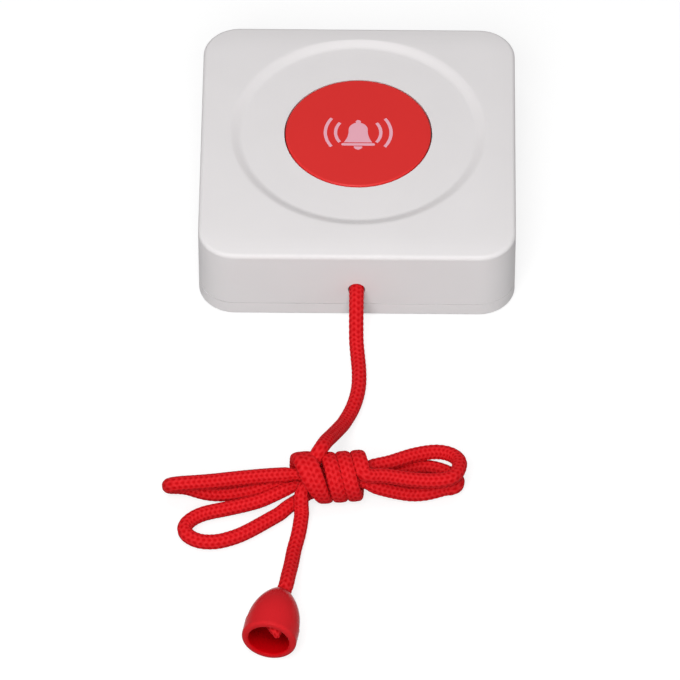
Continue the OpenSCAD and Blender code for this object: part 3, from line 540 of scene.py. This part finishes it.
def red_yarn():
    """Dyed polyester yarn, with painted shade in the holes and grooves between the stitches and painted light on
    the stitches' legs, and filaments along each leg."""
    material = bpy.data.materials.new("red_yarn")
    material.use_nodes = True
    tree = material.node_tree
    shader = tree.nodes["Principled BSDF"]
    shader.inputs["Roughness"].default_value = yarn_roughness
    shader.inputs["Specular IOR Level"].default_value = yarn_specular
    stitches = tree.nodes.new("ShaderNodeUVMap")
    stitches.uv_map = "stitches"
    split = tree.nodes.new("ShaderNodeSeparateXYZ")
    tree.links.new(stitches.outputs["UV"], split.inputs["Vector"])

    def work(operation, *values):
        step = tree.nodes.new("ShaderNodeMath")
        step.operation = operation
        for socket, value in zip(step.inputs, values):
            if isinstance(value, (int, float)):
                socket.default_value = value
            else:
                tree.links.new(value, socket)
        return step.outputs["Value"]

    across = work("MULTIPLY_ADD", work("FRACT", split.outputs["X"]), 2, -1)
    row = split.outputs["Y"]
    past = work("SUBTRACT", work("FRACT", work("ADD", row, 0.5)), 0.5)
    wide = work("POWER", work("DIVIDE", work("ABSOLUTE", across), shaded_hole_wide), 2)
    long = work("POWER", work("DIVIDE", work("ABSOLUTE", past), shaded_hole_long), 2)
    hole = work("POWER", math.e, work("MULTIPLY", work("ADD", wide, long), -1))
    odd = work("MODULO", work("FLOOR", split.outputs["X"]), 2)
    lean = work("MULTIPLY", work("MULTIPLY_ADD", odd, -2 * leg_slant, leg_slant), work("ABSOLUTE", across))
    vee = work("SUBTRACT", row, lean)
    leg = work("COSINE", work("MULTIPLY", vee, 2 * math.pi))
    groove = work("POWER", math.e, work("MULTIPLY", wide, -1))
    column = work("MULTIPLY_ADD", groove, -shaded_groove_depth, column_level)
    height = work("MULTIPLY_ADD", leg, -leg_shade, work("MULTIPLY_ADD", hole, -shaded_hole_depth, column))
    # The height also gives the colour: shade painted into the holes and grooves, light painted on the legs
    shade = tree.nodes.new("ShaderNodeValToRGB")
    shade_stop, light_stop = shade.color_ramp.elements
    shade_stop.position, shade_stop.color = 0, (*yarn_hole_shade, 1)
    light_stop.position, light_stop.color = yarn_leg_light_at, (*yarn_leg_light, 1)
    shade.color_ramp.elements.new(yarn_middle_at).color = (*yarn_middle, 1)
    tree.links.new(height, shade.inputs["Fac"])
    tree.links.new(shade.outputs["Color"], shader.inputs["Base Color"])

    filaments = work("SINE", work("MULTIPLY", vee, 2 * math.pi * filaments_a_stitch))
    relief = tree.nodes.new("ShaderNodeBump")
    relief.inputs["Strength"].default_value = yarn_relief
    relief.inputs["Distance"].default_value = yarn_relief_h
    tree.links.new(work("MULTIPLY_ADD", filaments, filament_height, height), relief.inputs["Height"])
    tree.links.new(relief.outputs["Normal"], shader.inputs["Normal"])
    return material


yarn = red_yarn()
cord_path, marks = evenly(cord_points, cord_marks, ring_step)
binding, pressed_wide, stitch_l = marks.T
# The binding presses the strands thin inside it, and its own turns flat against them; what lies on the table
# stays above it
press_left, press_right, press_fade = -9.5, 8.5, 3
press_r, press_r_fade, press_thinner = 3.2, 2.2, 0.18
table_room, round_reach, flat_reach = 0.02, 1.03, 0.88
cos_yaw, sin_yaw = math.cos(hank_yaw), math.sin(hank_yaw)
from_middle = cord_path - from_hank((0, 0, 0))
hank_u = from_middle[:, 0] * cos_yaw + from_middle[:, 1] * sin_yaw
hank_v = from_middle[:, 1] * cos_yaw - from_middle[:, 0] * sin_yaw
hank_w = from_middle[:, 2]
off_axis = np.hypot(hank_v, hank_w)
past_ends = np.maximum(hank_u - press_right, press_left - hank_u)
pressed = (1 - smooth(past_ends / press_fade)) * (1 - smooth((off_axis - press_r) / press_r_fade)) * (1 - binding)
reach = round_reach + (flat_reach - round_reach) * binding
cord_radii = np.minimum(cord_r * (1 - press_thinner * pressed), (cord_path[:, 2] - table_room) / reach)
outward = np.stack([-sin_yaw * hank_v, cos_yaw * hank_v, hank_w], axis=1) / np.maximum(off_axis, 1e-9)[:, None]
pull_cord = knitted("pull_cord", cord_path, cord_radii, stitch_l, (outward, binding, pressed_wide))
pull_cord.data.materials.append(yarn)
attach(pull_cord, "pull")
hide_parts("cord_lead", "cord_hank", "cord_tail")

# Stopper knots
# The cord's own ends tied in barrel knots, two tight turns round the standing part: one behind the
# slider, and one inside the bell whose cut tip shows in the mouth.
yarn_share, tip_wide, tip_end = 0.36, 1.5, 0.5
knot_turns, knot_steps, knot_stitch = 2.2, 64, 1.5


def barrel_knot(name, start, way, length, outer_r, tip):
    """Two and a bit turns of the cord wound back over itself, and the points of its cut tip, which narrows."""
    way = unit(way)
    side = unit(np.cross(way, (0, 0, 1)))
    up = np.cross(side, way)
    yarn_r = outer_r * yarn_share
    ring_r = outer_r - yarn_r
    points = []
    for i in range(knot_steps + 1):
        a = 2 * math.pi * knot_turns * i / knot_steps
        along = yarn_r + (length - 2 * yarn_r) * i / knot_steps
        points.append(start + way * along + ring_r * (math.cos(a) * side + math.sin(a) * up))
    points += [start + way * s + side * x + up * z for x, z, s in tip]
    widths = [yarn_r] * (knot_steps + 1) + [tip_wide * yarn_r] * (len(tip) - 1) + [tip_end * yarn_r]
    line, widths = evenly(points, np.array(widths)[:, None], ring_step)
    knot = knitted(name, line, widths[:, 0], np.full(len(line), knot_stitch))
    knot.data.materials.append(yarn)
    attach(knot, "pull")
    return knot


slider_knot = barrel_knot(
    "slider_knot", np.array((0, knot_y, cord_z)), (0, 1, 0), 6.8, 3.4, [(0.9, 0.9, 6.6), (0.4, 0.4, 7.2)]
)
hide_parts("cord_stop_knot")
mouth_knot = barrel_knot(
    "mouth_knot", bell_mouth - bell_knot_rear * bell_way, bell_way, 5.6, 3.4,
    [(0.4, 1.9, 6.8), (-0.8, 2.7, 8.4), (-1.7, 2.5, 9.8), (-2.2, 1.1, 11.2)],
)
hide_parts("bell_knot")

# Bell
# A hollow pull in polished red plastic, drawn over the cord's end: a thick rim, a dome that narrows
# to the neck, and the knot inside against its end wall.
bell_plastic = moulded_plastic("bell_plastic", (0.58, 0.016, 0.021), 0.2, grain=0.02, specular=0.02)
hollow_r, hollow_depth, hollow_edge = 5.75 * mm, 9 * mm, 0.4 * mm
# Painted shade in the bell's cavity: a darker red than the outside, turning from the first red at the mouth to the
# second, the darkest, from this depth on
shade_deepest_at = 0.6 * hollow_depth
mouth_shade_red, deepest_shade_red = (0.6, 0.001, 0.004), (0.33, 0.0005, 0.002)


def paint_hollow_shade(tree):
    """Paints shade into the bell's cavity: within it the colour turns from the polished outside's to a darker red,
    most of all far from the mouth."""
    def work(operation, *values, out="Value"):
        step = tree.nodes.new("ShaderNodeVectorMath")
        step.operation = operation
        for socket, value in zip(step.inputs, values):
            if isinstance(value, bpy.types.NodeSocket):
                tree.links.new(value, socket)
            else:
                socket.default_value = value
        return step.outputs[out]

    def between(value, low, high):
        span = tree.nodes.new("ShaderNodeMapRange")
        span.inputs["From Min"].default_value, span.inputs["From Max"].default_value = low, high
        tree.links.new(value, span.inputs["Value"])
        return span.outputs["Result"]

    place = tree.nodes.new("ShaderNodeTexCoord").outputs["Object"]
    from_mouth = work("SUBTRACT", place, tuple(mm * bell_mouth), out="Vector")
    along = work("DOT_PRODUCT", from_mouth, tuple(bell_way))
    off_axis = work("LENGTH", work("CROSS_PRODUCT", from_mouth, tuple(bell_way), out="Vector"))
    shade_mask = tree.nodes.new("ShaderNodeMath")
    shade_mask.operation = "MULTIPLY"
    tree.links.new(between(off_axis, hollow_r + hollow_edge, hollow_r - hollow_edge), shade_mask.inputs[0])
    tree.links.new(between(along, -hollow_depth - mm, -hollow_depth + mm), shade_mask.inputs[1])
    hollow_shade = tree.nodes.new("ShaderNodeMix")
    hollow_shade.data_type = "RGBA"
    hollow_shade.inputs["A"].default_value, hollow_shade.inputs["B"].default_value = (*mouth_shade_red, 1), (*deepest_shade_red, 1)
    tree.links.new(between(along, 0, -shade_deepest_at), hollow_shade.inputs["Factor"])
    shader = tree.nodes["Principled BSDF"]
    outside = shader.inputs["Base Color"].links[0].from_socket
    both = tree.nodes.new("ShaderNodeMix")
    both.data_type = "RGBA"
    tree.links.new(shade_mask.outputs["Value"], both.inputs["Factor"])
    tree.links.new(outside, both.inputs["A"])
    tree.links.new(hollow_shade.outputs["Result"], both.inputs["B"])
    tree.links.new(both.outputs["Result"], shader.inputs["Base Color"])


# Shade painted into the bell's cavity
paint_hollow_shade(bell_plastic.node_tree)
dress("pull_bell", bell_plastic)

# Studio
# A white table that takes only a faint shadow, under a large soft lamp in front, one above and two weak ones
# at the sides, in an even white surround.
table_side, table_drop = 6.0, 0.0002
paper_grey, white_glow, surround_light = 0.3, 0.76, 0.225


def white_to_camera(tree, lit, strength):
    """Joins a shader that lights and shades as usual to a white that the camera and reflections see."""
    rays = tree.nodes.new("ShaderNodeLightPath")
    seen = rays.outputs["Is Camera Ray"]
    for kind in ("Is Glossy Ray", "Is Transmission Ray"):
        either = tree.nodes.new("ShaderNodeMath")
        either.operation = "MAXIMUM"
        tree.links.new(seen, either.inputs[0])
        tree.links.new(rays.outputs[kind], either.inputs[1])
        seen = either.outputs["Value"]
    glow = tree.nodes.new("ShaderNodeMath")
    glow.operation = "MULTIPLY"
    glow.inputs[1].default_value = strength
    tree.links.new(seen, glow.inputs[0])
    white = tree.nodes.new("ShaderNodeEmission")
    tree.links.new(glow.outputs["Value"], white.inputs["Strength"])
    both = tree.nodes.new("ShaderNodeAddShader")
    tree.links.new(lit, both.inputs[0])
    tree.links.new(white.outputs["Emission"], both.inputs[1])
    return both.outputs["Shader"]


table_mesh = bmesh.new()
bmesh.ops.create_grid(table_mesh, x_segments=1, y_segments=1, size=table_side / 2)
table = bpy.data.objects.new("table", bpy.data.meshes.new("table"))
table_mesh.to_mesh(table.data)
table_mesh.free()
table.location.z = cad_box[0].z - table_drop
scene.collection.objects.link(table)
table_white = bpy.data.materials.new("table_white")
table_white.use_nodes = True
table_tree = table_white.node_tree
table_tree.nodes.remove(table_tree.nodes["Principled BSDF"])
paper = table_tree.nodes.new("ShaderNodeBsdfDiffuse")
paper.inputs["Color"].default_value = (paper_grey, paper_grey, paper_grey, 1)
table_top = white_to_camera(table_tree, paper.outputs["BSDF"], white_glow)
table_tree.links.new(table_top, table_tree.nodes["Material Output"].inputs["Surface"])
table.data.materials.append(table_white)

world = bpy.data.worlds.new("surround")
scene.world = world
world.use_nodes = True
surround = world.node_tree.nodes["Background"]
surround.inputs["Color"].default_value = (1, 1, 1, 1)
surround.inputs["Strength"].default_value = surround_light


def soft_lamp(name, place, size, power):
    """A square area lamp that faces the object's middle."""
    lamp = bpy.data.objects.new(name, bpy.data.lights.new(name, "AREA"))
    lamp.data.size = size
    lamp.data.energy = power
    lamp.location = place
    lamp.rotation_mode = "QUATERNION"
    lamp.rotation_quaternion = (view_aim - Vector(place)).to_track_quat("-Z", "Y")
    scene.collection.objects.link(lamp)


soft_lamp("key_lamp", (-0.08, -0.63, 0.61), 0.5, 5.4)
soft_lamp("top_lamp", (-0.05, 0.05, 1.2), 0.6, 2.8)
soft_lamp("left_lamp", (-0.8, -0.3, 0.3), 0.5, 0.7)
soft_lamp("right_lamp", (0.8, -0.3, 0.3), 0.5, 0.8)
